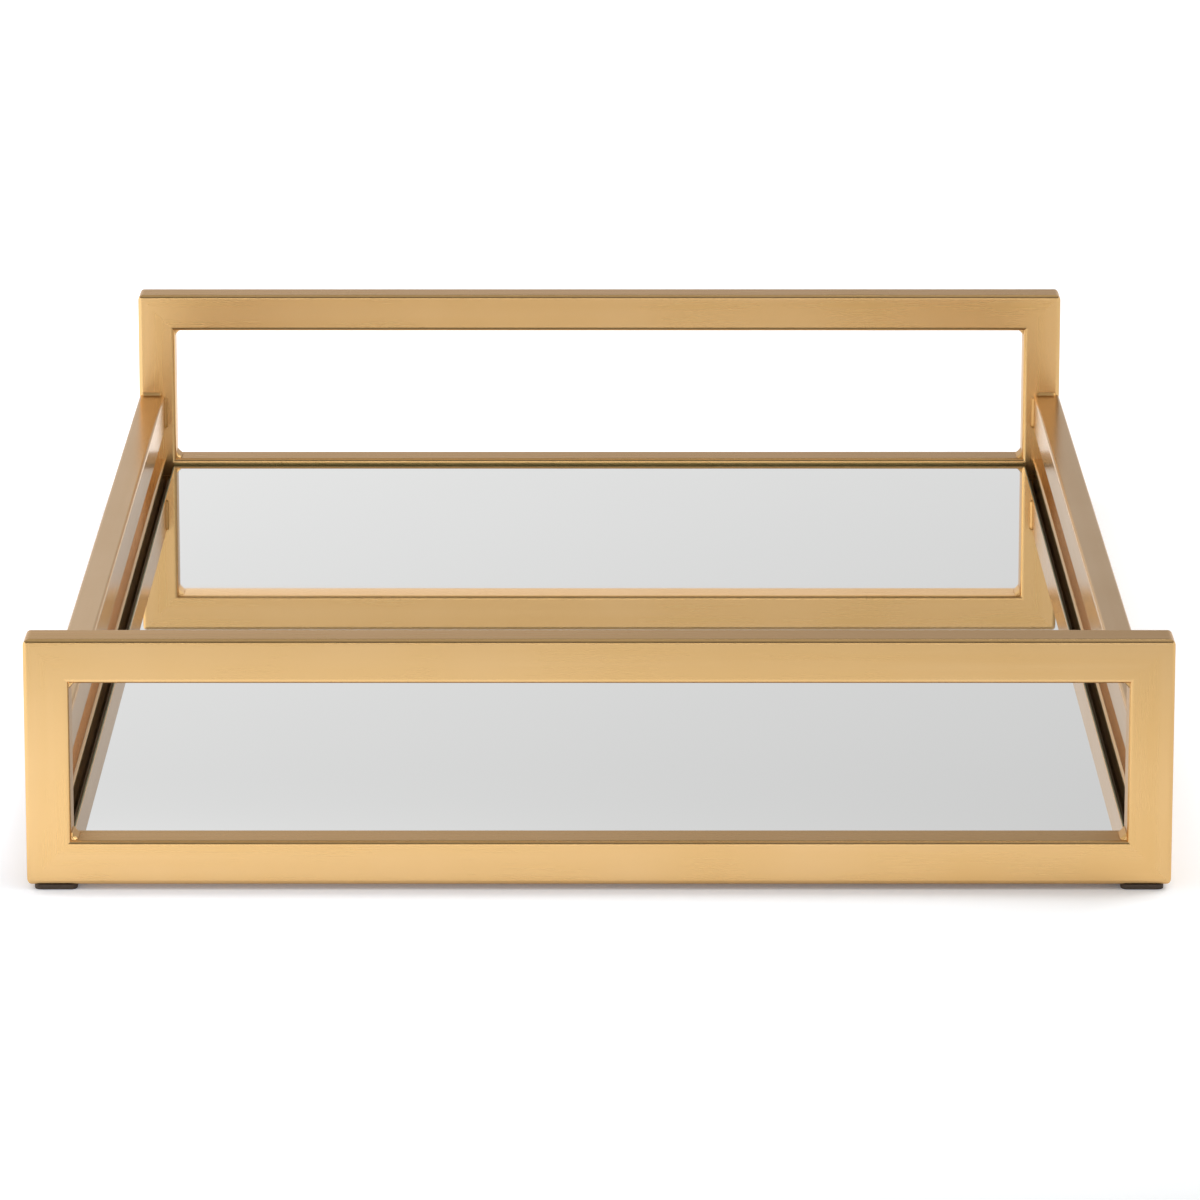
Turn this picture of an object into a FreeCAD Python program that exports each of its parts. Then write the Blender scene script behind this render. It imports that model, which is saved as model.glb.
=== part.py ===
import FreeCAD, Part
import math
import os

from FreeCAD import Vector

# Dresser vanity tray: two square-tube end loops that serve as handles, two pairs of
# side rails between them, and a mirror let into the bottom frame.
# Millimetres. +Z is up, +Y runs along the tray, X runs across it.
# The origin is on the table, under the middle of the tray.

os.makedirs("parts", exist_ok=True)

# Overall size
TRAY_WIDTH = 254.0
TRAY_LENGTH = 406.0
LOOP_HEIGHT = 56.0

# End loops, of mitred square tube
TUBE = 10.0
TUBE_WALL = 1.0
TUBE_EDGE_RADIUS = 1.0
LOOP_CORNER_RADIUS = 1.5

# Side rails, of rectangular tube
RAIL_WIDTH = 7.0
RAIL_HEIGHT = 10.0
RAIL_WALL = 1.0
RAIL_EDGE_RADIUS = 0.8
UPPER_RAIL_TOP = LOOP_HEIGHT / 2

# Mirror deck, from the ledges up
LEDGE_WIDTH = 12.0
LEDGE_THICKNESS = 1.2
BOARD_THICKNESS = 3.0
MIRROR_THICKNESS = 3.0
MIRROR_RECESS = 1.5
MIRROR_EDGE_CHAMFER = 0.4
MIRROR_CLEARANCE = 2.2
BOARD_CLEARANCE = 0.5
TAPE_WIDTH = 24.0
TAPE_END_GAP = 20.0
TAPE_SPACING = 84.0

# Board screws, driven up through the ledges
SCREW_HEAD_DIAMETER = 4.6
SCREW_SHANK_DIAMETER = 2.4
SCREW_BITE = 2.2
SCREW_CROSS_LENGTH = 2.2
SCREW_CROSS_WIDTH = 0.5
SCREW_CROSS_DEPTH = 0.6
SIDE_SCREW_SPACING = 140.0
END_SCREW_SPACING = 120.0

# Foot pads
FOOT_SIZE = 9.5
FOOT_THICKNESS = 1.2
FOOT_CORNER_RADIUS = 1.5
FOOT_EDGE_RADIUS = 0.3
FOOT_SIDE_INSET = 6.4

# Weld beads
CORNER_WELD_LEG = 1.5
RAIL_WELD_LEG = 1.0

# Levels and edges that follow
HALF_WIDTH = TRAY_WIDTH / 2
HALF_LENGTH = TRAY_LENGTH / 2
FRAME_BASE = FOOT_THICKNESS
LOOP_INNER_Y = HALF_LENGTH - TUBE
RAIL_INNER_X = HALF_WIDTH - RAIL_WIDTH
RAIL_LENGTH = 2 * LOOP_INNER_Y
LEDGE_TOP = FRAME_BASE + LEDGE_THICKNESS
BOARD_TOP = LEDGE_TOP + BOARD_THICKNESS
MIRROR_TOP = FRAME_BASE + TUBE - MIRROR_RECESS
MIRROR_BASE = MIRROR_TOP - MIRROR_THICKNESS
TAPE_THICKNESS = MIRROR_BASE - BOARD_TOP

AXES = {"x": Vector(1, 0, 0), "y": Vector(0, 1, 0), "z": Vector(0, 0, 1)}
ENDS = {"front": -1, "rear": 1}
SIDES = {"left": -1, "right": 1}
PARALLEL = 0.999


def save(name, shape):
    """Write one node and print its volume."""
    shape.exportStep("parts/" + name + ".step")
    print(name, "valid", shape.isValid(), "solids", len(shape.Solids), "mm3", round(shape.Volume, 1))


def box_between(low, high):
    """A box from its lowest corner to its highest."""
    size = high - low
    return Part.makeBox(size.x, size.y, size.z, low)


def edges_along(shape, direction):
    """The straight edges of a shape that run along a direction."""
    found = []
    for edge in shape.Edges:
        run = edge.Vertexes[-1].Point - edge.Vertexes[0].Point
        if run.Length > 0 and abs(run.normalize().dot(direction)) > PARALLEL:
            found.append(edge)
    return found


def tube_between(low, high, axis, wall, edge_radius):
    """A hollow rectangular tube with rounded long edges and open ends."""
    direction = AXES[axis]
    outside = box_between(low, high)
    outside = outside.makeFillet(edge_radius, edges_along(outside, direction))
    inset = Vector(wall, wall, wall) - direction * wall
    hollow = box_between(low + inset, high - inset)
    return outside.cut(hollow)


def prism_y(corners, y_low, y_high):
    """An upright prism: a closed outline of (x, z) corners, pushed along Y."""
    points = [Vector(x, y_low, z) for x, z in corners]
    face = Part.Face(Part.makePolygon(points + points[:1]))
    return face.extrude(Vector(0, y_high - y_low, 0))


def loop_envelope(y_low):
    """The outside of an end loop, with its four corners dressed round."""
    low = Vector(-HALF_WIDTH, y_low, FRAME_BASE)
    high = Vector(HALF_WIDTH, y_low + TUBE, FRAME_BASE + LOOP_HEIGHT)
    block = box_between(low, high)
    return block.makeFillet(LOOP_CORNER_RADIUS, edges_along(block, AXES["y"]))


def loop_bar(y_low, z_low, outer_is_low):
    """The top or bottom bar of a loop, mitred at both ends."""
    low = Vector(-HALF_WIDTH, y_low, z_low)
    high = Vector(HALF_WIDTH, y_low + TUBE, z_low + TUBE)
    tube = tube_between(low, high, "x", TUBE_WALL, TUBE_EDGE_RADIUS)
    outer_z = z_low if outer_is_low else z_low + TUBE
    inner_z = z_low + TUBE if outer_is_low else z_low
    inner_x = HALF_WIDTH - TUBE
    outline = [(-HALF_WIDTH, outer_z), (HALF_WIDTH, outer_z), (inner_x, inner_z), (-inner_x, inner_z)]
    mitre = prism_y(outline, y_low, y_low + TUBE)
    return tube.common(mitre).common(loop_envelope(y_low))


def loop_upright(y_low, side):
    """The left or right upright of a loop, mitred at both ends."""
    outer_x = side * HALF_WIDTH
    inner_x = side * (HALF_WIDTH - TUBE)
    z_low = FRAME_BASE
    z_high = FRAME_BASE + LOOP_HEIGHT
    low = Vector(min(outer_x, inner_x), y_low, z_low)
    high = Vector(max(outer_x, inner_x), y_low + TUBE, z_high)
    tube = tube_between(low, high, "z", TUBE_WALL, TUBE_EDGE_RADIUS)
    outline = [(outer_x, z_low), (inner_x, z_low + TUBE), (inner_x, z_high - TUBE), (outer_x, z_high)]
    mitre = prism_y(outline, y_low, y_low + TUBE)
    return tube.common(mitre).common(loop_envelope(y_low))


def corner_weld(x, z, x_way, z_way, y_low, y_high):
    """A small concave bead in an inner corner of a loop."""
    leg = CORNER_WELD_LEG
    corner = Vector(x, y_low, z)
    along_x = corner + Vector(x_way * leg, 0, 0)
    along_z = corner + Vector(0, 0, z_way * leg)
    centre = corner + Vector(x_way * leg, 0, z_way * leg)
    middle = centre - Vector(x_way, 0, z_way) * (leg * math.sqrt(0.5))
    curve = Part.Arc(along_x, middle, along_z).toShape()
    foot = Part.LineSegment(corner, along_x).toShape()
    back = Part.LineSegment(along_z, corner).toShape()
    face = Part.Face(Part.Wire([foot, curve, back]))
    return face.extrude(Vector(0, y_high - y_low, 0))


def loop_corner_welds(y_low):
    """The four inner-corner beads of one loop."""
    y_start = y_low + TUBE_EDGE_RADIUS
    y_stop = y_low + TUBE - TUBE_EDGE_RADIUS
    beads = []
    for side in SIDES.values():
        x = side * (HALF_WIDTH - TUBE)
        beads.append(corner_weld(x, FRAME_BASE + TUBE, -side, 1, y_start, y_stop))
        beads.append(corner_weld(x, FRAME_BASE + LOOP_HEIGHT - TUBE, -side, -1, y_start, y_stop))
    return Part.makeCompound(beads)


def side_rail(side, z_low):
    """One side rail, flush with the loops' outer side faces."""
    outer_x = side * HALF_WIDTH
    inner_x = side * RAIL_INNER_X
    low = Vector(min(outer_x, inner_x), -LOOP_INNER_Y, z_low)
    high = Vector(max(outer_x, inner_x), LOOP_INNER_Y, z_low + RAIL_HEIGHT)
    return tube_between(low, high, "y", RAIL_WALL, RAIL_EDGE_RADIUS)


def rail_top_bead(side, end, z_top):
    """A bead across the top of a rail, against a loop."""
    leg = RAIL_WELD_LEG
    y_face = end * LOOP_INNER_Y
    x_start = side * (HALF_WIDTH - TUBE_EDGE_RADIUS)
    x_stop = side * (RAIL_INNER_X + RAIL_EDGE_RADIUS)
    corners = [(y_face, z_top), (y_face - end * leg, z_top), (y_face, z_top + leg)]
    points = [Vector(x_start, y, z) for y, z in corners]
    face = Part.Face(Part.makePolygon(points + points[:1]))
    return face.extrude(Vector(x_stop - x_start, 0, 0))


def rail_side_bead(side, end, z_low):
    """A bead up the inner face of a rail, against a loop."""
    leg = RAIL_WELD_LEG
    y_face = end * LOOP_INNER_Y
    x_face = side * RAIL_INNER_X
    z_start = z_low + RAIL_EDGE_RADIUS
    corners = [(x_face, y_face), (x_face, y_face - end * leg), (x_face - side * leg, y_face)]
    points = [Vector(x, y, z_start) for x, y in corners]
    face = Part.Face(Part.makePolygon(points + points[:1]))
    return face.extrude(Vector(0, 0, RAIL_HEIGHT - 2 * RAIL_EDGE_RADIUS))


def upper_rail_welds():
    """The beads that hold the upper rails, one on top and one inside at each end."""
    z_top = FRAME_BASE + UPPER_RAIL_TOP
    beads = []
    for side in SIDES.values():
        for end in ENDS.values():
            beads.append(rail_top_bead(side, end, z_top))
            beads.append(rail_side_bead(side, end, z_top - RAIL_HEIGHT))
    return Part.makeCompound(beads)


def screw_places():
    """The screws' (x, y) places: three along each side ledge and two along each end ledge."""
    side_x = RAIL_INNER_X - LEDGE_WIDTH / 2
    end_y = LOOP_INNER_Y - LEDGE_WIDTH / 2
    places = []
    for side in SIDES.values():
        for step in (-1, 0, 1):
            places.append((side * side_x, step * SIDE_SCREW_SPACING))
    for end in ENDS.values():
        for side in SIDES.values():
            places.append((side * END_SCREW_SPACING / 2, end * end_y))
    return places


def screw_body(x, y):
    """A flat-headed screw without its drive: a countersunk head and a shank above it."""
    head_radius = SCREW_HEAD_DIAMETER / 2
    shank_radius = SCREW_SHANK_DIAMETER / 2
    head = Part.makeCone(head_radius, shank_radius, LEDGE_THICKNESS, Vector(x, y, FRAME_BASE))
    shank = Part.makeCylinder(shank_radius, SCREW_BITE, Vector(x, y, LEDGE_TOP))
    return head.fuse(shank).removeSplitter()


def screw(x, y):
    """A board screw with its cross recess."""
    body = screw_body(x, y)
    half_length = SCREW_CROSS_LENGTH / 2
    half_width = SCREW_CROSS_WIDTH / 2
    for reach_x, reach_y in ((half_length, half_width), (half_width, half_length)):
        low = Vector(x - reach_x, y - reach_y, FRAME_BASE)
        high = Vector(x + reach_x, y + reach_y, FRAME_BASE + SCREW_CROSS_DEPTH)
        body = body.cut(box_between(low, high))
    return body


def with_screw_holes(plate):
    """Cut the screws' own shapes out of a ledge or the board."""
    for x, y in screw_places():
        plate = plate.cut(screw_body(x, y))
    return plate


def end_ledge(end):
    """The flat strip that carries the board along one loop."""
    y_outer = end * LOOP_INNER_Y
    y_inner = end * (LOOP_INNER_Y - LEDGE_WIDTH)
    low = Vector(-RAIL_INNER_X, min(y_outer, y_inner), FRAME_BASE)
    high = Vector(RAIL_INNER_X, max(y_outer, y_inner), LEDGE_TOP)
    return with_screw_holes(box_between(low, high))


def side_ledge(side):
    """The flat strip that carries the board along one lower rail, between the end ledges."""
    x_outer = side * RAIL_INNER_X
    x_inner = side * (RAIL_INNER_X - LEDGE_WIDTH)
    y_reach = LOOP_INNER_Y - LEDGE_WIDTH
    low = Vector(min(x_outer, x_inner), -y_reach, FRAME_BASE)
    high = Vector(max(x_outer, x_inner), y_reach, LEDGE_TOP)
    return with_screw_holes(box_between(low, high))


def deck_plate(clearance, z_low, z_high):
    """A flat plate between the side rails and the loops, with a gap all round."""
    reach_x = RAIL_INNER_X - clearance
    reach_y = LOOP_INNER_Y - clearance
    return box_between(Vector(-reach_x, -reach_y, z_low), Vector(reach_x, reach_y, z_high))


def backing_board():
    """The board that the mirror is stuck to."""
    return with_screw_holes(deck_plate(BOARD_CLEARANCE, LEDGE_TOP, BOARD_TOP))


def tape_strip(place):
    """One strip of foam tape between the board and the mirror."""
    middle = place * TAPE_SPACING
    reach = LOOP_INNER_Y - MIRROR_CLEARANCE - TAPE_END_GAP
    low = Vector(middle - TAPE_WIDTH / 2, -reach, BOARD_TOP)
    high = Vector(middle + TAPE_WIDTH / 2, reach, MIRROR_BASE)
    return box_between(low, high)


def mirror():
    """The mirror plate, with its sharp edges taken off."""
    plate = deck_plate(MIRROR_CLEARANCE, MIRROR_BASE, MIRROR_TOP)
    long_edges = edges_along(plate, AXES["x"]) + edges_along(plate, AXES["y"])
    return plate.makeChamfer(MIRROR_EDGE_CHAMFER, long_edges)


def foot_pad(side, end):
    """One square rubber pad with rounded corners, under a corner of the frame."""
    centre = Vector(side * (HALF_WIDTH - FOOT_SIDE_INSET), end * (HALF_LENGTH - TUBE / 2), 0)
    reach = Vector(FOOT_SIZE / 2, FOOT_SIZE / 2, 0)
    top = Vector(0, 0, FOOT_THICKNESS)
    pad = box_between(centre - reach, centre + reach + top)
    pad = pad.makeFillet(FOOT_CORNER_RADIUS, edges_along(pad, AXES["z"]))
    lower_rim = [edge for edge in pad.Edges if edge.BoundBox.ZMax < FOOT_THICKNESS / 2]
    return pad.makeFillet(FOOT_EDGE_RADIUS, lower_rim)


def save_loop(end_name, end):
    """The four tubes and the corner beads of one end loop."""
    y_low = min(end * HALF_LENGTH, end * LOOP_INNER_Y)
    save(end_name + "_bottom_bar", loop_bar(y_low, FRAME_BASE, True))
    save(end_name + "_top_bar", loop_bar(y_low, FRAME_BASE + LOOP_HEIGHT - TUBE, False))
    for side_name, side in SIDES.items():
        save(end_name + "_" + side_name + "_upright", loop_upright(y_low, side))
    save(end_name + "_corner_welds", loop_corner_welds(y_low))


def save_rails():
    """The upper and lower side rails and the upper rails' beads."""
    for side_name, side in SIDES.items():
        save(side_name + "_upper_rail", side_rail(side, FRAME_BASE + UPPER_RAIL_TOP - RAIL_HEIGHT))
        save(side_name + "_lower_rail", side_rail(side, FRAME_BASE))
    save("upper_rail_welds", upper_rail_welds())


def save_deck():
    """Everything between the ledges and the mirror."""
    for end_name, end in ENDS.items():
        save(end_name + "_ledge", end_ledge(end))
    for side_name, side in SIDES.items():
        save(side_name + "_ledge", side_ledge(side))
    save("backing_board", backing_board())
    save("board_screws", Part.makeCompound([screw(x, y) for x, y in screw_places()]))
    for strip_name, place in (("left", -1), ("centre", 0), ("right", 1)):
        save(strip_name + "_tape_strip", tape_strip(place))
    save("mirror", mirror())


def save_feet():
    """The four foot pads."""
    for end_name, end in ENDS.items():
        for side_name, side in SIDES.items():
            save(end_name + "_" + side_name + "_foot", foot_pad(side, end))


for loop_name, loop_end in ENDS.items():
    save_loop(loop_name, loop_end)
save_rails()
save_deck()
save_feet()
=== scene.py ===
import math

import bmesh
import bpy
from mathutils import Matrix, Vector


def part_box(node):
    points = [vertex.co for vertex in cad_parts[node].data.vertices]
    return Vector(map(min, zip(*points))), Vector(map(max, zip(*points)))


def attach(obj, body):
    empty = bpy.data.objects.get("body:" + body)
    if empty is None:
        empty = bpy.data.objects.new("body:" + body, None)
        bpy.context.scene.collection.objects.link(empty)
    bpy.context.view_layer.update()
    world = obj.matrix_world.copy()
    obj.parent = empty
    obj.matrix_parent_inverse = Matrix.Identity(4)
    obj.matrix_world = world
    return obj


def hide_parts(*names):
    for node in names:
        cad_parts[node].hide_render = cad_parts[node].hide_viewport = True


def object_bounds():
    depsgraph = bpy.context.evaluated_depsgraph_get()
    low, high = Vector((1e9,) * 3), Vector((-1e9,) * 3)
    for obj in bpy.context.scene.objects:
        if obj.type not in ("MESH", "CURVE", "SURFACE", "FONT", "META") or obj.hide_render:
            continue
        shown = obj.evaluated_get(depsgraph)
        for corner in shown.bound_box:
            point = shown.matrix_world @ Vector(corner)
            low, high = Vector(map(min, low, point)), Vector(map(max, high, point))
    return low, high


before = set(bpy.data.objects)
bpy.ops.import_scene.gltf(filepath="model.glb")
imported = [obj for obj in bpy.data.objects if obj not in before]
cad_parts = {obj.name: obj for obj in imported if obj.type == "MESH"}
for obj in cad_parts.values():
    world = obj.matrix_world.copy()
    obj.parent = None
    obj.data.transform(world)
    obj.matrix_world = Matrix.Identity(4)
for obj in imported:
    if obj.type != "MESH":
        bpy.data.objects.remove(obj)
cad_low, cad_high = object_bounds()

BODY = "root"
MILLIMETRE = 0.001

# ---------------------------------------------------------------- places, from the CAD parts

ENDS = ("front", "rear")
SIDES = ("left", "right")
CENTRE = (cad_low + cad_high) / 2

# ---------------------------------------------------------------- camera

LENS_MM = 209.4
SENSOR_MM = 36.0
CAMERA_PLACE = (0.0002, -1.6943, 0.4248)
CAMERA_PITCH = 13.52
CLIP_NEAR = 0.01
CLIP_FAR = 50.0


def make_camera():
    """A long lens from the front end, looking down a little."""
    data = bpy.data.cameras.new("camera")
    data.lens = LENS_MM
    data.sensor_width = SENSOR_MM
    data.clip_start = CLIP_NEAR
    data.clip_end = CLIP_FAR
    camera = bpy.data.objects.new("camera", data)
    camera.location = CAMERA_PLACE
    camera.rotation_euler = (math.radians(90.0 - CAMERA_PITCH), 0.0, 0.0)
    bpy.context.scene.collection.objects.link(camera)
    bpy.context.scene.camera = camera


# ---------------------------------------------------------------- node helpers

NOISE_SPAN = (0.3, 0.7)
NARROW_SPAN = (0.35, 0.65)
# A Mix node has a set of sockets for numbers and another for colours. These are their places.
NUMBER_INPUTS = (2, 3)
NUMBER_OUTPUT = 0
COLOUR_INPUTS = (6, 7)
COLOUR_OUTPUT = 2


class Shader:
    """A material's node tree, with short calls for the nodes that the materials here share."""

    def __init__(self, name):
        self.material = bpy.data.materials.new(name)
        self.material.use_nodes = True
        self.tree = self.material.node_tree
        self.surface = self.tree.nodes["Principled BSDF"]
        self.place = self.tree.nodes.new("ShaderNodeTexCoord").outputs["Object"]

    def node(self, kind, **settings):
        """Add a node. Settings named after its inputs go to them, and the rest to the node."""
        made = self.tree.nodes.new(kind)
        for key, value in settings.items():
            label = key.replace("_", " ").title()
            if hasattr(made, key):
                setattr(made, key, value)
            else:
                made.inputs[label].default_value = value
        return made

    def link(self, source, target):
        self.tree.links.new(source, target)

    def set(self, **values):
        """Set the surface shader's own sockets."""
        for key, value in values.items():
            self.surface.inputs[key.replace("_", " ").title()].default_value = value

    def stretched(self, scale):
        """The object's coordinates, scaled by axis."""
        mapping = self.node("ShaderNodeMapping")
        mapping.inputs["Scale"].default_value = scale
        self.link(self.place, mapping.inputs["Vector"])
        return mapping.outputs["Vector"]

    def noise(self, vector, scale, detail=3.0, roughness=0.5):
        """Fractal noise, from 0 to 1."""
        made = self.node("ShaderNodeTexNoise")
        made.inputs["Scale"].default_value = scale
        made.inputs["Detail"].default_value = detail
        made.inputs["Roughness"].default_value = roughness
        self.link(vector, made.inputs["Vector"])
        return made.outputs["Fac"]

    def ranged(self, value, from_low, from_high, to_low, to_high):
        """Map one range of values to another, held at its ends."""
        made = self.node("ShaderNodeMapRange")
        limits = (from_low, from_high, to_low, to_high)
        for label, limit in zip(("From Min", "From Max", "To Min", "To Max"), limits):
            made.inputs[label].default_value = limit
        self.link(value, made.inputs["Value"])
        return made.outputs["Result"]

    def maths(self, operation, first, second):
        """Arithmetic on two values, the second of which may be a number."""
        made = self.node("ShaderNodeMath")
        made.operation = operation
        self.link(first, made.inputs[0])
        if isinstance(second, (int, float)):
            made.inputs[1].default_value = second
        else:
            self.link(second, made.inputs[1])
        return made.outputs["Value"]

    def blended(self, factor, first, second):
        """Mix two colours, each an (r, g, b) or a socket, by a factor."""
        made = self.node("ShaderNodeMix", data_type="RGBA")
        self.link(factor, made.inputs["Factor"])
        for place, colour in zip(COLOUR_INPUTS, (first, second)):
            if isinstance(colour, tuple):
                made.inputs[place].default_value = (*colour, 1.0)
            else:
                self.link(colour, made.inputs[place])
        return made.outputs[COLOUR_OUTPUT]

    def weighted(self, first, share, second):
        """A weighted mean of two values: share of the first, and the rest of the second."""
        first_part = self.maths("MULTIPLY", first, share)
        second_part = self.maths("MULTIPLY", second, 1 - share)
        return self.maths("ADD", first_part, second_part)

    def colour(self, factor, first, second):
        """Make the surface's colour a mix of two, by a factor."""
        self.link(self.blended(factor, first, second), self.surface.inputs["Base Color"])

    def roughness(self, value, low, high, span=NOISE_SPAN):
        """Run the surface's roughness from low to high over a span of a value."""
        self.link(self.ranged(value, *span, low, high), self.surface.inputs["Roughness"])

    def bump(self, height, distance, strength):
        """Raise the surface by a height from 0 to 1, over a distance in metres."""
        made = self.node("ShaderNodeBump")
        made.inputs["Strength"].default_value = strength
        made.inputs["Distance"].default_value = distance
        self.link(height, made.inputs["Height"])
        self.link(made.outputs["Normal"], self.surface.inputs["Normal"])


# ---------------------------------------------------------------- materials

GOLD_LIGHT = (0.71, 0.46, 0.21)
GOLD_DEEP = (0.685, 0.43, 0.175)
GOLD_TARNISH = (0.63, 0.385, 0.145)
LOOP_EDGE_TINT = (0.82, 0.74, 0.68)
RAIL_EDGE_TINT = (0.90, 0.88, 0.88)
GRAIN_ALONG = 60.0
GRAIN_ACROSS = 5200.0
STREAK_ALONG = 5.0
STREAK_ACROSS = 300.0
CLOUD_SCALE = 30.0
PATCH_SCALE = 9.0
STREAK_SHARE = 0.5
MOTTLE_SHARE = 0.8
PATCH_SPAN = (0.52, 0.75)
MOST_TARNISH = 0.4
GRAIN_HEIGHT = 0.002 * MILLIMETRE
GRAIN_STRENGTH = 0.25
LOOP_ROUGHNESS = (0.255, 0.285)
RAIL_ROUGHNESS = (0.215, 0.245)


def lengthwise(axis, along, across):
    """A scale by axis that draws a pattern out along one of them."""
    scale = [across] * 3
    scale["xyz".index(axis)] = along
    return scale


def satin_gold(name, axis, roughness, edge_tint):
    """Satin gold plating: a very fine grain along one axis, faint streaks with it, and cloudy patches."""
    shader = Shader(name)
    shader.set(Metallic=1.0, Specular_Tint=(*edge_tint, 1.0))
    grain_place = shader.stretched(lengthwise(axis, GRAIN_ALONG, GRAIN_ACROSS))
    streak_place = shader.stretched(lengthwise(axis, STREAK_ALONG, STREAK_ACROSS))
    grain = shader.noise(grain_place, scale=1.0, detail=2.0)
    streaks = shader.noise(streak_place, scale=1.0, detail=2.0)
    clouds = shader.noise(shader.place, CLOUD_SCALE, detail=3.0)
    patches = shader.noise(shader.place, PATCH_SCALE, detail=2.0)
    mottle = shader.weighted(streaks, STREAK_SHARE, clouds)
    plating = shader.blended(shader.ranged(mottle, *NARROW_SPAN, 0.0, 1.0), GOLD_LIGHT, GOLD_DEEP)
    shader.colour(shader.ranged(patches, *PATCH_SPAN, 0.0, MOST_TARNISH), plating, GOLD_TARNISH)
    rough = shader.weighted(mottle, MOTTLE_SHARE, grain)
    shader.roughness(rough, *roughness, span=NARROW_SPAN)
    shader.bump(grain, GRAIN_HEIGHT, GRAIN_STRENGTH)
    return shader.material


def weld_gold():
    """Plating over a weld bead: a little rougher and more uneven than the tubes."""
    shader = Shader("weld gold")
    shader.set(Metallic=1.0, Specular_Tint=(*LOOP_EDGE_TINT, 1.0))
    grain = shader.noise(shader.place, scale=1400.0, detail=4.0)
    clouds = shader.noise(shader.place, scale=260.0, detail=2.0)
    shader.colour(clouds, GOLD_LIGHT, GOLD_TARNISH)
    shader.roughness(grain, low=0.27, high=0.38)
    shader.bump(grain, distance=0.03 * MILLIMETRE, strength=0.3)
    return shader.material


SILVER_LIGHT = (0.935, 0.94, 0.93)
SILVER_DIM = (0.915, 0.92, 0.915)
SILVER_ROUGHNESS = (0.012, 0.03)
HAZE_SPAN = (0.3, 0.8)
GLASS_EDGE_DARK = (0.16, 0.24, 0.20)
GLASS_EDGE_LIGHT = (0.24, 0.33, 0.29)
GLASS_EDGE_ROUGHNESS = 0.35
UPWARD_SPAN = (0.85, 0.95)


def facing_up(shader):
    """1 where the surface faces up and 0 where it faces down or sideways."""
    split = shader.node("ShaderNodeSeparateXYZ")
    normal = shader.tree.nodes.new("ShaderNodeTexCoord").outputs["Normal"]
    shader.link(normal, split.inputs["Vector"])
    return shader.ranged(split.outputs["Z"], *UPWARD_SPAN, 0.0, 1.0)


def mirror_glass():
    """Silvered glass: a clear mirror on top, and greenish ground glass at the edges and underneath."""
    shader = Shader("mirror glass")
    haze = shader.noise(shader.place, scale=9.0, detail=4.0)
    specks = shader.noise(shader.place, scale=900.0, detail=2.0)
    is_top = facing_up(shader)
    silver = shader.blended(haze, SILVER_LIGHT, SILVER_DIM)
    edge = shader.blended(specks, GLASS_EDGE_DARK, GLASS_EDGE_LIGHT)
    shader.colour(is_top, edge, silver)
    shader.link(is_top, shader.surface.inputs["Metallic"])
    blend = shader.node("ShaderNodeMix", data_type="FLOAT")
    edge_input, silver_input = NUMBER_INPUTS
    shader.link(is_top, blend.inputs["Factor"])
    blend.inputs[edge_input].default_value = GLASS_EDGE_ROUGHNESS
    shader.link(shader.ranged(haze, *HAZE_SPAN, *SILVER_ROUGHNESS), blend.inputs[silver_input])
    shader.link(blend.outputs[NUMBER_OUTPUT], shader.surface.inputs["Roughness"])
    return shader.material


# These browns are painted darker than bare hardboard, as painted shade for the gap round the mirror.
HARDBOARD_DARK_WITH_PAINTED_SHADE = (0.100, 0.068, 0.040)
HARDBOARD_LIGHT_WITH_PAINTED_SHADE = (0.160, 0.112, 0.066)
FIBRE_SHARE = 0.6


def hardboard():
    """Bare brown hardboard, painted darker than its own brown as painted shade in the gap round the mirror:
    matted fibres, darker in patches.
    """
    shader = Shader("hardboard")
    fibre = shader.noise(shader.place, scale=700.0, detail=5.0, roughness=0.65)
    clouds = shader.noise(shader.place, scale=20.0, detail=2.0)
    tone = shader.weighted(fibre, FIBRE_SHARE, clouds)
    shader.colour(shader.ranged(tone, *NARROW_SPAN, 0.0, 1.0), HARDBOARD_DARK_WITH_PAINTED_SHADE, HARDBOARD_LIGHT_WITH_PAINTED_SHADE)
    shader.roughness(fibre, low=0.62, high=0.85)
    shader.bump(fibre, distance=0.10 * MILLIMETRE, strength=0.5)
    return shader.material


ZINC_DARK = (0.50, 0.51, 0.53)
ZINC_LIGHT = (0.66, 0.66, 0.65)


def zinc_steel():
    """Zinc-plated screw heads."""
    shader = Shader("zinc steel")
    shader.set(Metallic=1.0)
    grain = shader.noise(shader.place, scale=2200.0, detail=3.0)
    shader.colour(grain, ZINC_DARK, ZINC_LIGHT)
    shader.roughness(grain, low=0.25, high=0.45)
    shader.bump(grain, distance=0.02 * MILLIMETRE, strength=0.3)
    return shader.material


FOAM_DARK = (0.74, 0.74, 0.71)
FOAM_LIGHT = (0.86, 0.86, 0.84)


def foam_tape():
    """White foam with fine open cells."""
    shader = Shader("foam tape")
    cells = shader.noise(shader.place, scale=2600.0, detail=2.0)
    shader.colour(cells, FOAM_DARK, FOAM_LIGHT)
    shader.roughness(cells, low=0.75, high=0.95)
    shader.bump(cells, distance=0.10 * MILLIMETRE, strength=0.6)
    return shader.material


RUBBER_DARK = (0.038, 0.022, 0.013)
RUBBER_LIGHT = (0.064, 0.040, 0.024)


def foot_rubber():
    """Matt dark brown rubber."""
    shader = Shader("foot rubber")
    grain = shader.noise(shader.place, scale=1800.0, detail=4.0)
    clouds = shader.noise(shader.place, scale=160.0, detail=2.0)
    shader.colour(clouds, RUBBER_DARK, RUBBER_LIGHT)
    shader.roughness(grain, low=0.55, high=0.80)
    shader.bump(grain, distance=0.06 * MILLIMETRE, strength=0.4)
    return shader.material


# ---------------------------------------------------------------- weld beads

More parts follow.
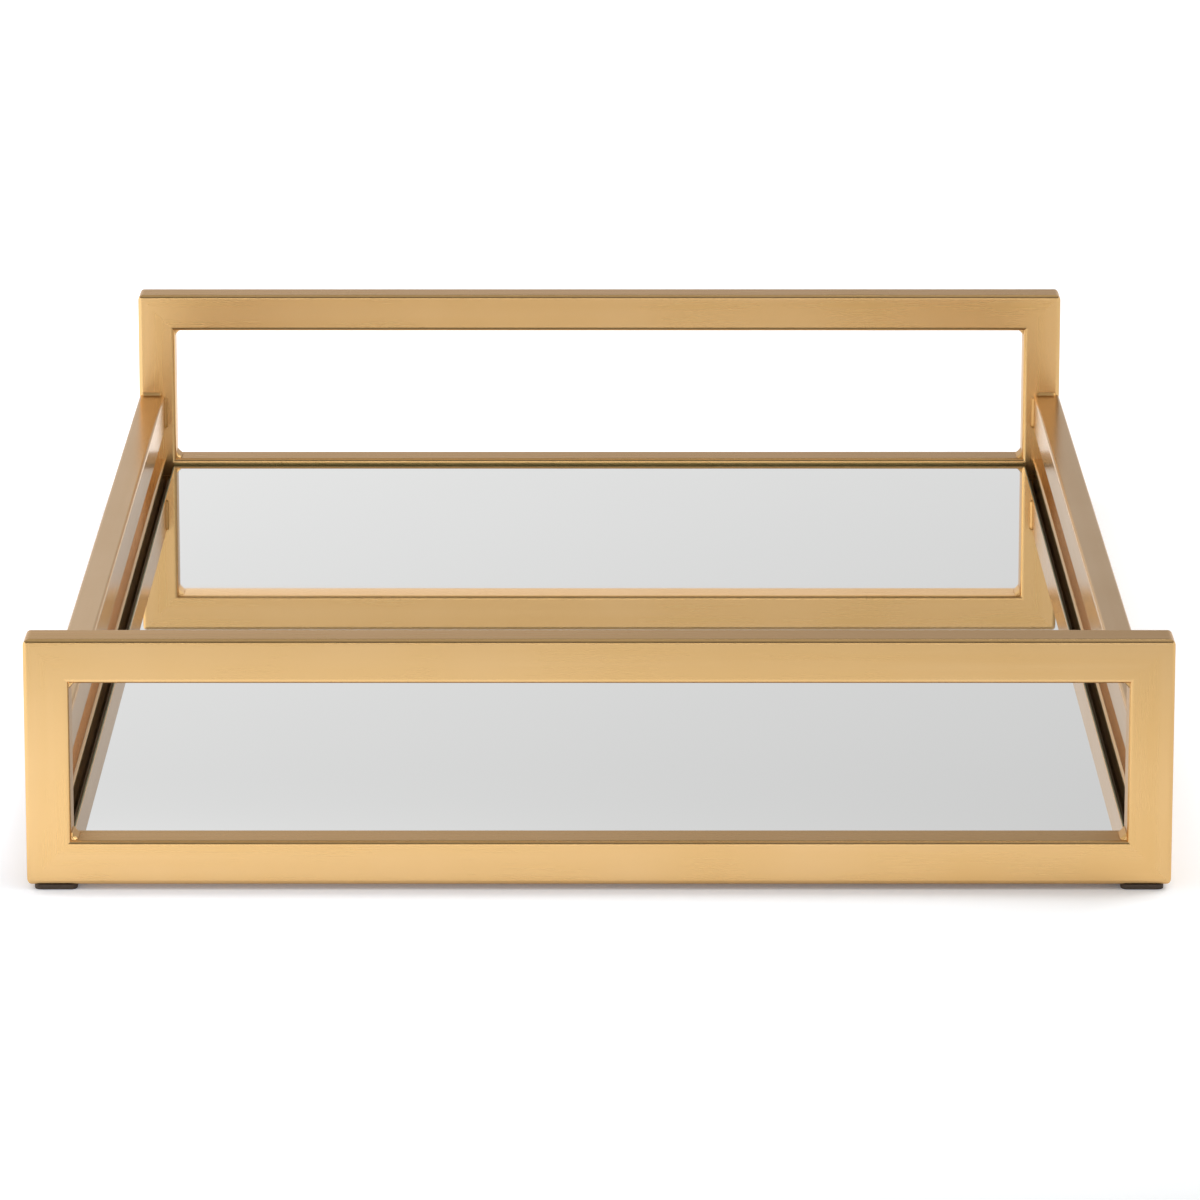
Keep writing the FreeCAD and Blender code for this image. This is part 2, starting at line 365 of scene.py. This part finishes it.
RING_SPACING = 0.14 * MILLIMETRE
RIPPLE_PITCH = 1.15 * MILLIMETRE
FACE_STEPS = 8
CORNER_BEAD = {"leg": 1.55 * MILLIMETRE, "bulge": -0.05}
RAIL_BEAD = {"leg": 0.70 * MILLIMETRE, "bulge": 0.02}
RIPPLE_HEIGHT = 0.015
CRESCENT = 1.6
BEAD_SINK = 0.15
BEAD_END_SIZE = 0.55
TUBE_EDGE_RADIUS = 1.0 * MILLIMETRE
RAIL_EDGE_RADIUS = 0.8 * MILLIMETRE


def bead_ring(mesh, middle, arms, leg, bulge, phase):
    """One cross-section of a bead: its buried corner, then its face from one leg's tip to the other's."""
    outward = (arms[0] + arms[1]).normalized()
    ring = [mesh.verts.new(middle - outward * leg * BEAD_SINK)]
    for step in range(FACE_STEPS + 1):
        share = step / FACE_STEPS
        swell = math.sin(math.pi * share)
        ripple = RIPPLE_HEIGHT * math.cos(phase - CRESCENT * swell)
        across = arms[0] * (1 - share) + arms[1] * share
        ring.append(mesh.verts.new(middle + (across + outward * (bulge + ripple) * swell) * leg))
    return ring


def add_bead(mesh, start, stop, arms, leg, bulge):
    """A bead from start to stop, laid in overlapping crescents and tapered at both ends."""
    run = stop - start
    count = round(run.length / RING_SPACING)
    rings = []
    for index in range(count + 1):
        share = index / count
        from_end = min(share, 1 - share) * run.length / leg
        taper = BEAD_END_SIZE + (1 - BEAD_END_SIZE) * math.sin(min(from_end, 1.0) * math.pi / 2)
        phase = 2 * math.pi * share * run.length / RIPPLE_PITCH
        rings.append(bead_ring(mesh, start + run * share, arms, leg * taper, bulge, phase))
    for ring, following in zip(rings, rings[1:]):
        for index in range(len(ring)):
            after = (index + 1) % len(ring)
            mesh.faces.new((ring[index], ring[after], following[after], following[index]))
    mesh.faces.new(rings[0])
    mesh.faces.new(reversed(rings[-1]))


def bead_piece(name, mesh, material, node):
    """Turn finished beads into a piece that stands for a CAD node."""
    bmesh.ops.recalc_face_normals(mesh, faces=mesh.faces)
    for face in mesh.faces:
        face.smooth = len(face.verts) == 4
    data = bpy.data.meshes.new(name)
    mesh.to_mesh(data)
    mesh.free()
    data.materials.append(material)
    piece = bpy.data.objects.new(name, data)
    bpy.context.scene.collection.objects.link(piece)
    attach(piece, BODY)
    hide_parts(node)


def corner_beads(end, material):
    """The four beads in the inner corners of one loop."""
    node = end + "_corner_welds"
    low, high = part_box(node)
    mesh = bmesh.new()
    for x, x_way in ((low.x, 1), (high.x, -1)):
        for z, z_way in ((low.z, 1), (high.z, -1)):
            arms = (Vector((x_way, 0, 0)), Vector((0, 0, z_way)))
            add_bead(mesh, Vector((x, low.y, z)), Vector((x, high.y, z)), arms, **CORNER_BEAD)
    bead_piece(end + "_corner_beads", mesh, material, node)


def rail_beads(material):
    """The beads on top of and inside each upper rail, where it meets the loops."""
    mesh = bmesh.new()
    for side, inward in (("left", 1), ("right", -1)):
        low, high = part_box(side + "_upper_rail")
        inner_x = high.x if inward > 0 else low.x
        outer_x = low.x if inward > 0 else high.x
        top_start = outer_x + inward * TUBE_EDGE_RADIUS
        top_stop = inner_x - inward * RAIL_EDGE_RADIUS
        for y, y_way in ((low.y, 1), (high.y, -1)):
            along = Vector((0, y_way, 0))
            top_ends = (Vector((top_start, y, high.z)), Vector((top_stop, y, high.z)))
            add_bead(mesh, *top_ends, (along, Vector((0, 0, 1))), **RAIL_BEAD)
            side_low = Vector((inner_x, y, low.z + RAIL_EDGE_RADIUS))
            side_high = Vector((inner_x, y, high.z - RAIL_EDGE_RADIUS))
            add_bead(mesh, side_low, side_high, (along, Vector((inward, 0, 0))), **RAIL_BEAD)
    bead_piece("upper_rail_beads", mesh, material, "upper_rail_welds")


def give_material(node, material):
    """Put one material in every slot of a CAD node."""
    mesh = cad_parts[node].data
    if not mesh.materials:
        mesh.materials.append(material)
    for index in range(len(mesh.materials)):
        mesh.materials[index] = material


def dress_cad_nodes():
    """Give each CAD node its material."""
    across = satin_gold("gold satin across", "x", LOOP_ROUGHNESS, LOOP_EDGE_TINT)
    upright = satin_gold("gold satin upright", "z", LOOP_ROUGHNESS, LOOP_EDGE_TINT)
    along = satin_gold("gold satin along", "y", RAIL_ROUGHNESS, RAIL_EDGE_TINT)
    welds = weld_gold()
    for end in ENDS:
        for bar in ("bottom_bar", "top_bar"):
            give_material(end + "_" + bar, across)
        for side in SIDES:
            give_material(end + "_" + side + "_upright", upright)
        corner_beads(end, welds)
        give_material(end + "_ledge", across)
    for side in SIDES:
        for rail in ("upper_rail", "lower_rail", "ledge"):
            give_material(side + "_" + rail, along)
    rail_beads(welds)
    give_material("mirror", mirror_glass())
    give_material("backing_board", hardboard())
    give_material("board_screws", zinc_steel())
    tape = foam_tape()
    for strip in ("left", "centre", "right"):
        give_material(strip + "_tape_strip", tape)
    rubber = foot_rubber()
    for end in ENDS:
        for side in SIDES:
            give_material(end + "_" + side + "_foot", rubber)


# ---------------------------------------------------------------- studio

FLOOR_REACH = 12.0
FLOOR_WHITE = (0.89, 0.89, 0.89)
# Painted shade: far in front, the floor's colour turns to this grey, standing in for light dying away.
FLOOR_PAINTED_SHADE_GREY = (0.35, 0.35, 0.35)
# The floor's glow is painted light, as the floor is no lamp. These set its strength at the left and at the
# right, the width of that change, and its tint.
FLOOR_PAINTED_GLOW_LEFT = 0.68
FLOOR_PAINTED_GLOW_RIGHT = 0.18
FLOOR_PAINTED_GLOW_REACH = 0.25
FLOOR_PAINTED_GLOW_TINT = (0.93, 1.03, 1.20, 1.0)
FLOOR_ROUGHNESS = 0.85
# Between these two distances in front of the tray, the painted shade and the painted glow come in.
FLOOR_PAINTED_SHADE_START = CENTRE.y - 0.35
FLOOR_PAINTED_SHADE_END = CENTRE.y - 0.61
# Ambient occlusion dims the glow near the tray as a painted shadow. These set its reach, its depth and its
# samples.
PAINTED_SHADOW_REACH = 20 * MILLIMETRE
PAINTED_SHADOW_DEPTH = 0.80
PAINTED_SHADOW_SAMPLES = 8


def make_floor():
    """A pale floor, level with the feet's undersides.

    Its glow is painted light, as the floor is no lamp: strongest at the left, dimmed close to the tray by
    ambient occlusion as a painted shadow, and gone far in front, where the floor's colour turns grey as
    painted shade.
    """
    corners = [
        (x * FLOOR_REACH, y * FLOOR_REACH, cad_low.z)
        for x, y in ((-1, -1), (1, -1), (1, 1), (-1, 1))
    ]
    mesh = bpy.data.meshes.new("floor")
    mesh.from_pydata(corners, [], [(0, 1, 2, 3)])
    floor = bpy.data.objects.new("floor", mesh)
    bpy.context.scene.collection.objects.link(floor)
    shader = Shader("floor paper with painted glow and shade")
    split = shader.node("ShaderNodeSeparateXYZ")
    shader.link(shader.place, split.inputs["Vector"])
    # Painted shade: the floor's colour runs from white near the tray to grey far in front, and the glow
    # dies away with it.
    painted_front_shade = shader.ranged(split.outputs["Y"], FLOOR_PAINTED_SHADE_END, FLOOR_PAINTED_SHADE_START, 0.0, 1.0)
    shader.link(shader.blended(painted_front_shade, FLOOR_PAINTED_SHADE_GREY, FLOOR_WHITE), shader.surface.inputs["Base Color"])
    across = (-FLOOR_PAINTED_GLOW_REACH, FLOOR_PAINTED_GLOW_REACH)
    # Painted light: the glow is strongest at the left.
    side = shader.ranged(split.outputs["X"], *across, FLOOR_PAINTED_GLOW_LEFT, FLOOR_PAINTED_GLOW_RIGHT)
    # Painted shadow: ambient occlusion dims the glow close to the tray.
    contact = shader.node("ShaderNodeAmbientOcclusion", samples=PAINTED_SHADOW_SAMPLES, distance=PAINTED_SHADOW_REACH)
    painted_shadow_share = shader.ranged(contact.outputs["AO"], 0.0, 1.0, 1.0 - PAINTED_SHADOW_DEPTH, 1.0)
    glow = shader.maths("MULTIPLY", shader.maths("MULTIPLY", painted_front_shade, side), painted_shadow_share)
    shader.link(glow, shader.surface.inputs["Emission Strength"])
    shader.set(Roughness=FLOOR_ROUGHNESS, Emission_Color=FLOOR_PAINTED_GLOW_TINT)
    mesh.materials.append(shader.material)


# In the sky and in its glows, each tone is (sine of the elevation, strength).
SKY_TONES = (
    (0.0, 0.75),
    (0.12, 0.62),
    (0.20, 0.42),
    (0.27, 0.34),
    (0.33, 0.10),
    (0.70, 0.20),
    (0.90, 0.50),
    (1.0, 0.55),
)
HIGH_LEFT_GLOW = ((0.0, 0.0), (0.26, 0.0), (0.31, 0.60), (0.45, 0.30), (0.60, 0.0), (1.0, 0.0))
HIGH_LEFT_EDGE = 0.1
REAR_LEFT_EDGE = 0.5
REAR_GLOW = ((0.0, 0.0), (0.12, 0.06), (0.20, 0.78), (0.27, 0.68), (0.36, 0.10), (1.0, 0.0))
FRONT_GLOW = ((0.0, 1.4), (0.12, 3.6), (0.24, 0.50), (0.36, 0.0), (1.0, 0.0))


class Backdrop:
    """The world's node tree, which gives a tone to each direction."""

    def __init__(self):
        world = bpy.data.worlds.new("studio")
        bpy.context.scene.world = world
        world.use_nodes = True
        self.tree = world.node_tree
        direction = self.tree.nodes.new("ShaderNodeTexCoord").outputs["Generated"]
        self.way = self.tree.nodes.new("ShaderNodeSeparateXYZ")
        self.tree.links.new(direction, self.way.inputs["Vector"])

    def maths(self, operation, first, second, third=None):
        """Arithmetic on sockets or numbers."""
        made = self.tree.nodes.new("ShaderNodeMath")
        made.operation = operation
        for socket, value in zip(made.inputs, (first, second, third)):
            if isinstance(value, (int, float)):
                socket.default_value = value
            elif value is not None:
                self.tree.links.new(value, socket)
        return made.outputs["Value"]

    def by_height(self, tones):
        """A tone that changes with the sine of the elevation."""
        curve = self.tree.nodes.new("ShaderNodeFloatCurve")
        curve.mapping.extend = "HORIZONTAL"
        points = curve.mapping.curves[0].points
        while len(points) < len(tones):
            points.new(0.5, 0.5)
        highest = max(tone for _, tone in tones)
        for point, (place, tone) in zip(points, tones):
            point.location = (place, tone / highest)
            point.handle_type = "VECTOR"
        curve.mapping.update()
        self.tree.links.new(self.way.outputs["Z"], curve.inputs["Value"])
        return self.maths("MULTIPLY", curve.outputs["Value"], highest)

    def leftward(self, edge):
        """1 to the left and 0 to the right, changing over x from -edge to edge."""
        slope = self.maths("MULTIPLY_ADD", self.way.outputs["X"], -0.5 / edge, 0.5)
        return self.maths("MAXIMUM", self.maths("MINIMUM", slope, 1.0), 0.0)

    def half(self, axis, sign):
        """1 in a direction along an axis, and 0 in the opposite one."""
        return self.maths("MULTIPLY_ADD", self.way.outputs[axis], sign / 2, 0.5)


def make_world():
    """A room that is pale low down and overhead and dark between.

    It has soft glows at the rear left, above that one, and low at the front left.
    """
    backdrop = Backdrop()
    to_rear = backdrop.half("Y", 1)
    rear_left = backdrop.maths("MULTIPLY", backdrop.leftward(REAR_LEFT_EDGE), to_rear)
    high_left = backdrop.maths("MULTIPLY", backdrop.leftward(HIGH_LEFT_EDGE), to_rear)
    front_left = backdrop.maths("MULTIPLY", backdrop.half("X", -1), backdrop.half("Y", -1))
    rear = backdrop.maths("MULTIPLY", rear_left, backdrop.by_height(REAR_GLOW))
    high = backdrop.maths("MULTIPLY", high_left, backdrop.by_height(HIGH_LEFT_GLOW))
    front = backdrop.maths("MULTIPLY", front_left, backdrop.by_height(FRONT_GLOW))
    glow = backdrop.maths("ADD", backdrop.maths("ADD", rear, high), front)
    tone = backdrop.maths("ADD", glow, backdrop.by_height(SKY_TONES))
    backdrop.tree.links.new(tone, backdrop.tree.nodes["Background"].inputs["Strength"])
    backdrop.tree.nodes["Background"].inputs["Color"].default_value = (1.0, 1.0, 1.0, 1.0)


WARM = (1.0, 0.85, 0.60)
IVORY = (1.0, 0.95, 0.80)
COOL = (0.95, 1.0, 1.05)
# Each sun is (name, azimuth, elevation, spread, strength, tint), with the angles in degrees.
SUNS = (
    ("left sun", -90.0, 30.0, 40.0, 0.30, WARM),
    ("right sun", 90.0, 50.0, 50.0, 0.60, WARM),
    ("rear left sun", -50.0, 50.0, 40.0, 0.40, IVORY),
    ("rear right sun", 50.0, 50.0, 40.0, 1.35, COOL),
)


def wide_sun(name, azimuth, elevation, spread, strength, tint):
    """A far softbox: a sun lamp as wide as spread. Azimuth 0 shines from the rear and 90 from the right."""
    data = bpy.data.lights.new(name, "SUN")
    data.angle = math.radians(spread)
    data.energy = strength
    data.color = tint
    light = bpy.data.objects.new(name, data)
    turn = math.radians(azimuth)
    tilt = math.radians(elevation)
    towards = Vector((math.sin(turn) * math.cos(tilt), math.cos(turn) * math.cos(tilt), math.sin(tilt)))
    light.rotation_euler = (-towards).to_track_quat("-Z", "Y").to_euler()
    bpy.context.scene.collection.objects.link(light)


def make_studio():
    """The floor, the backdrop and the lights."""
    make_floor()
    make_world()
    for sun in SUNS:
        wide_sun(*sun)
    bpy.context.scene.view_settings.view_transform = "Standard"


make_camera()
dress_cad_nodes()
make_studio()
